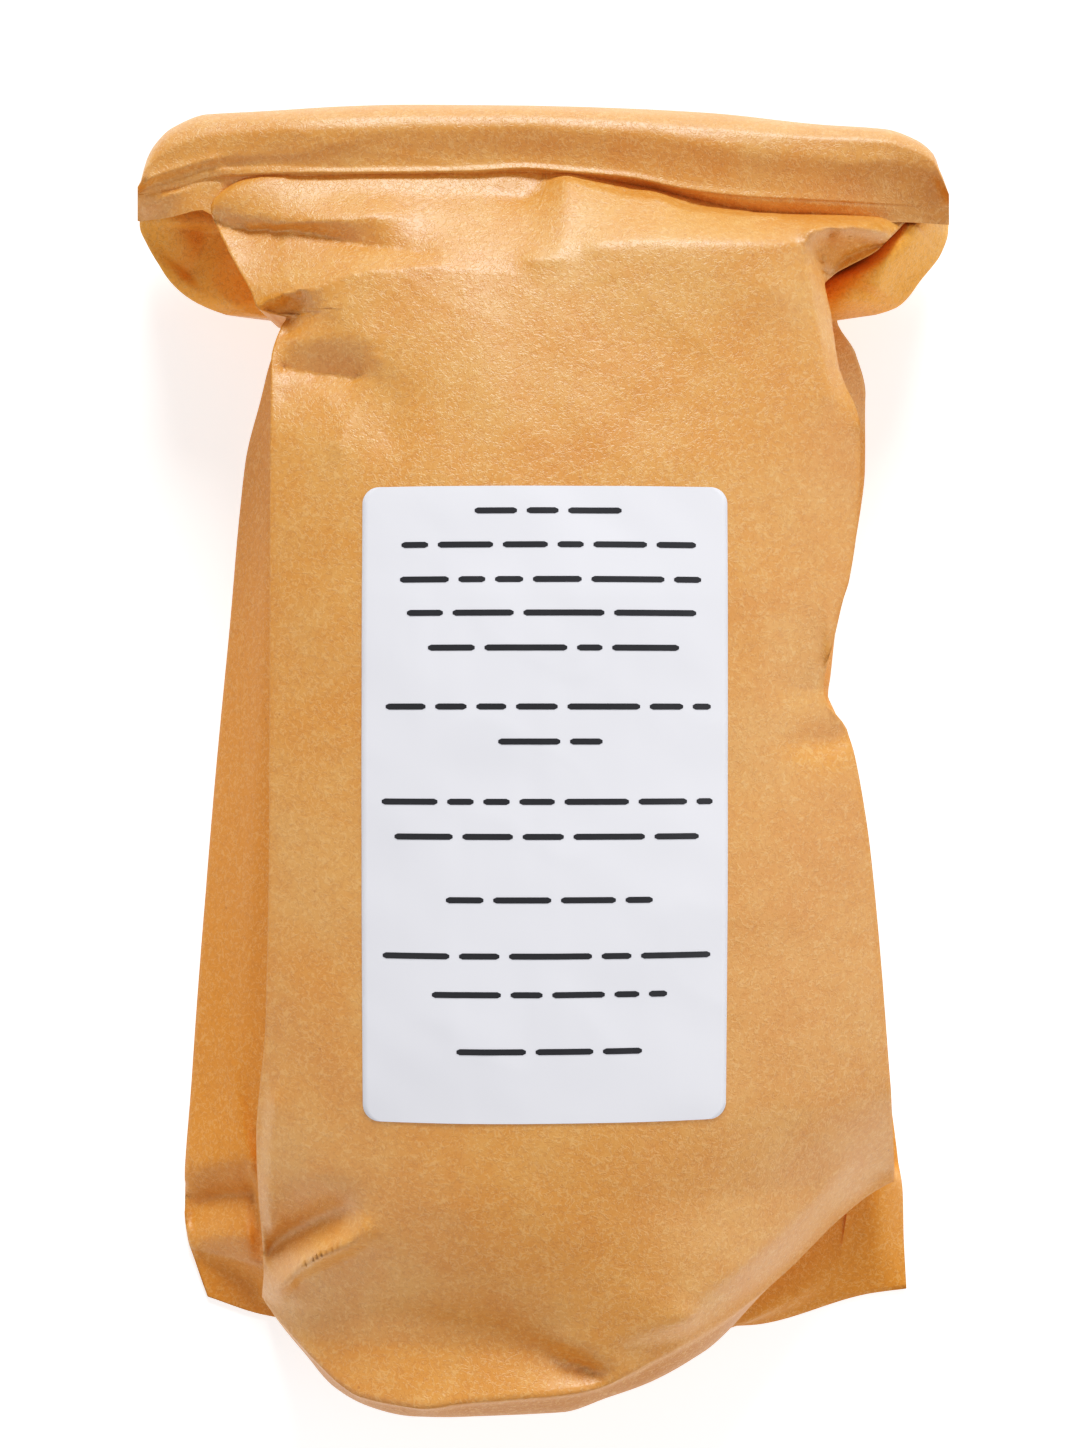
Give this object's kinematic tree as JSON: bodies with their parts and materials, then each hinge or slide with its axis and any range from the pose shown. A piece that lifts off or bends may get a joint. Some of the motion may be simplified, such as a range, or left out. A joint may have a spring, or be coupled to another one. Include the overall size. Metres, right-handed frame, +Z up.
{
  "type": "bag of granola",
  "caption": "Full kraft-paper food bag with side gussets and a rolled-down top, lying on its back, with a white paper label on its front.",
  "frame": {"origin": "under the middle of the bag's box, on the surface it lies on", "axes": "+X across the bag, +Y from its bottom to its rolled top, +Z up, out of its front"},
  "size_m": [0.1354, 0.2206, 0.0545],
  "materials": {
    "kraft_paper": "matt brown kraft paper, fibrous, softly creased",
    "label_paper": "smooth white sticker paper with black print"
  },
  "bodies": {
    "root": {"kraft_bag": "kraft_paper", "label": "label_paper"}
  },
  "joints": []
}
